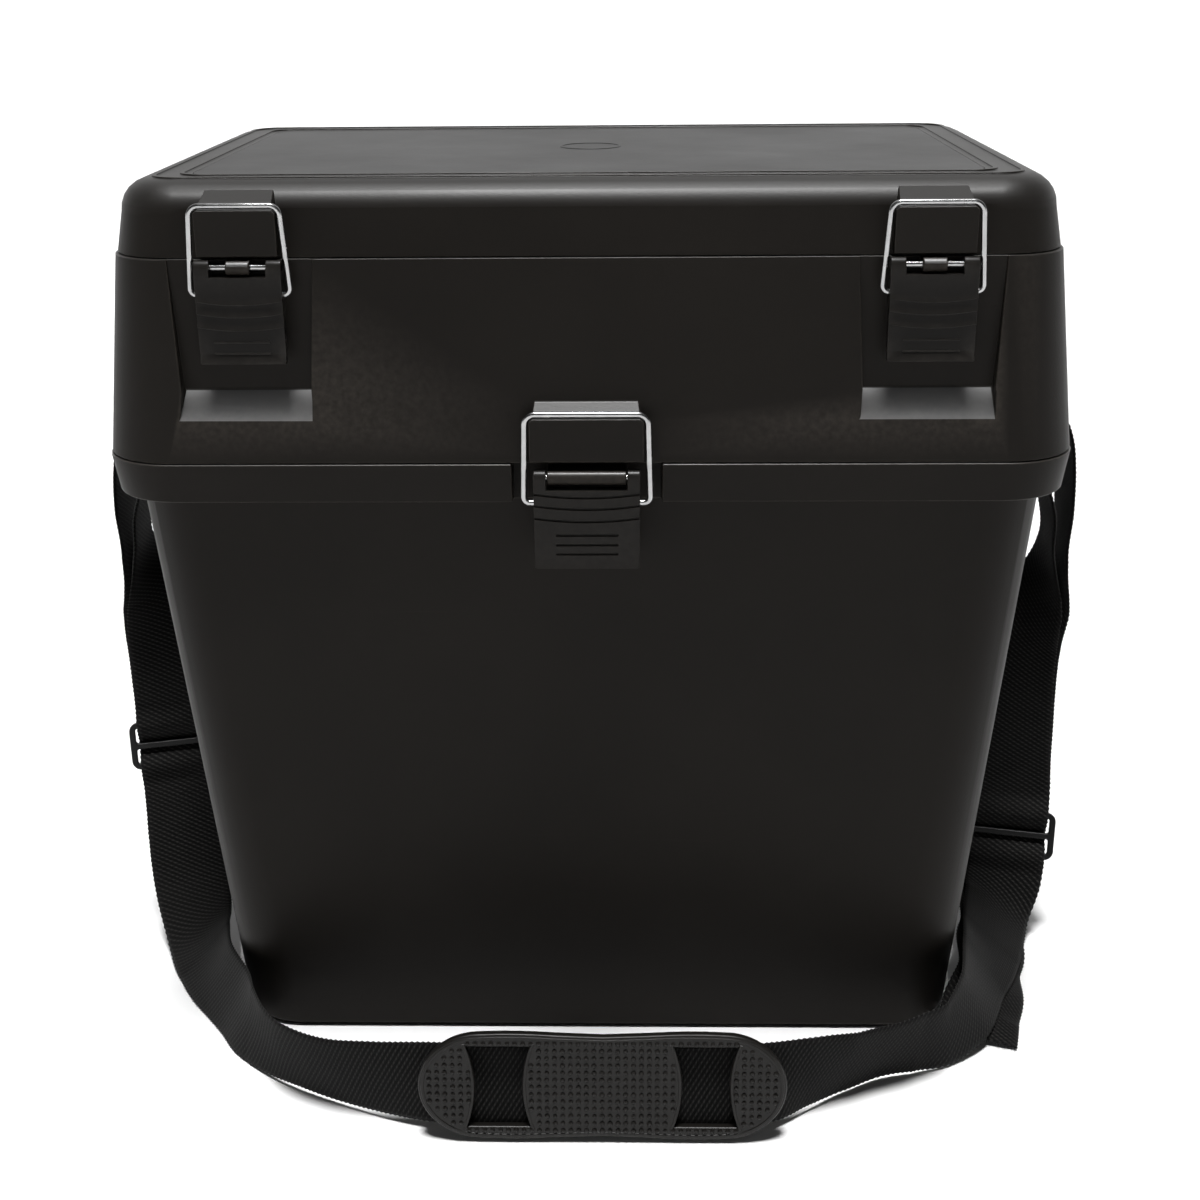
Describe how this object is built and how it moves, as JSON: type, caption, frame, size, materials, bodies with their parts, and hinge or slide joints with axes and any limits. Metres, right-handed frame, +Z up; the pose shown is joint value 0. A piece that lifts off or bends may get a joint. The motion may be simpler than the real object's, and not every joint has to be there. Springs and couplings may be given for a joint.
{
  "type": "fishing seat box",
  "caption": "Tall tapered box with a flat seat lid, a hinged shallow compartment, wire-bail draw latches and a webbing shoulder strap with a rubber pad.",
  "frame": {"origin": "middle of the tub's flat underside, on the ground", "axes": "+Z up, +X to the right along the long side when facing the latches, -Y towards the latched front"},
  "size_m": [0.4678, 0.3356, 0.3891],
  "materials": {
    "shell": "moulded black polypropylene, fine satin grain",
    "seat_panel": "black, coarse non-slip grain",
    "latch": "smooth black plastic",
    "steel": "bright plated steel wire",
    "webbing": "woven black polypropylene",
    "slider": "smooth black plastic",
    "pad": "matt black with small raised bumps"
  },
  "bodies": {
    "tub": {"tub": "shell", "centre_lever_pin": "steel", "upper_hinge_pin_left": "steel", "upper_hinge_pin_right": "steel", "strap_bar_left": "steel", "strap_bar_right": "steel", "strap_main": "webbing", "strap_end_left": "webbing", "strap_end_right": "webbing", "slider_left": "slider", "slider_right": "slider", "shoulder_pad": "pad"},
    "upper": {"upper_section": "shell", "lid_hinge_pin_left": "steel", "lid_hinge_pin_right": "steel", "side_left_lever_pin": "steel", "side_right_lever_pin": "steel"},
    "lid": {"lid": "shell", "seat_panel": "seat_panel"},
    "side_left_lever": {"side_left_lever": "latch"},
    "side_left_bail": {"side_left_bail": "steel"},
    "side_right_lever": {"side_right_lever": "latch"},
    "side_right_bail": {"side_right_bail": "steel"},
    "centre_lever": {"centre_lever": "latch"},
    "centre_bail": {"centre_bail": "steel"}
  },
  "joints": [
    {"name": "upper_open", "type": "hinge", "parent": "tub", "child": "upper", "pos_m": [0, 0.1381, 0.28], "axis": [-1, 0, 0], "range_deg": [0, 100]},
    {"name": "lid_open", "type": "hinge", "parent": "upper", "child": "lid", "pos_m": [0, 0.1286, 0.36], "axis": [-1, 0, 0], "range_deg": [0, 100]},
    {"name": "side_left_lever_swing", "type": "hinge", "parent": "upper", "child": "side_left_lever", "pos_m": [-0.1335, -0.1277, 0.3574], "axis": [-1, 0, 0], "range_deg": [0, 75]},
    {"name": "side_left_bail_swing", "type": "hinge", "parent": "side_left_lever", "child": "side_left_bail", "pos_m": [-0.1335, -0.1277, 0.347], "axis": [1, 0, 0], "range_deg": [0, 165]},
    {"name": "side_right_lever_swing", "type": "hinge", "parent": "upper", "child": "side_right_lever", "pos_m": [0.1335, -0.1277, 0.3574], "axis": [-1, 0, 0], "range_deg": [0, 75]},
    {"name": "side_right_bail_swing", "type": "hinge", "parent": "side_right_lever", "child": "side_right_bail", "pos_m": [0.1335, -0.1277, 0.347], "axis": [1, 0, 0], "range_deg": [0, 165]},
    {"name": "centre_lever_swing", "type": "hinge", "parent": "tub", "child": "centre_lever", "pos_m": [0, -0.1352, 0.2753], "axis": [-1, 0, 0], "range_deg": [0, 75]},
    {"name": "centre_bail_swing", "type": "hinge", "parent": "centre_lever", "child": "centre_bail", "pos_m": [0, -0.1352, 0.2649], "axis": [1, 0, 0], "range_deg": [0, 165]}
  ],
  "couplings": [
    {"joint": "side_left_lever_swing", "follows": "lid_open", "ratio": 0.75},
    {"joint": "side_left_bail_swing", "follows": "lid_open", "ratio": 1.65},
    {"joint": "side_right_lever_swing", "follows": "lid_open", "ratio": 0.75},
    {"joint": "side_right_bail_swing", "follows": "lid_open", "ratio": 1.65},
    {"joint": "centre_lever_swing", "follows": "upper_open", "ratio": 0.75},
    {"joint": "centre_bail_swing", "follows": "upper_open", "ratio": 1.65}
  ]
}
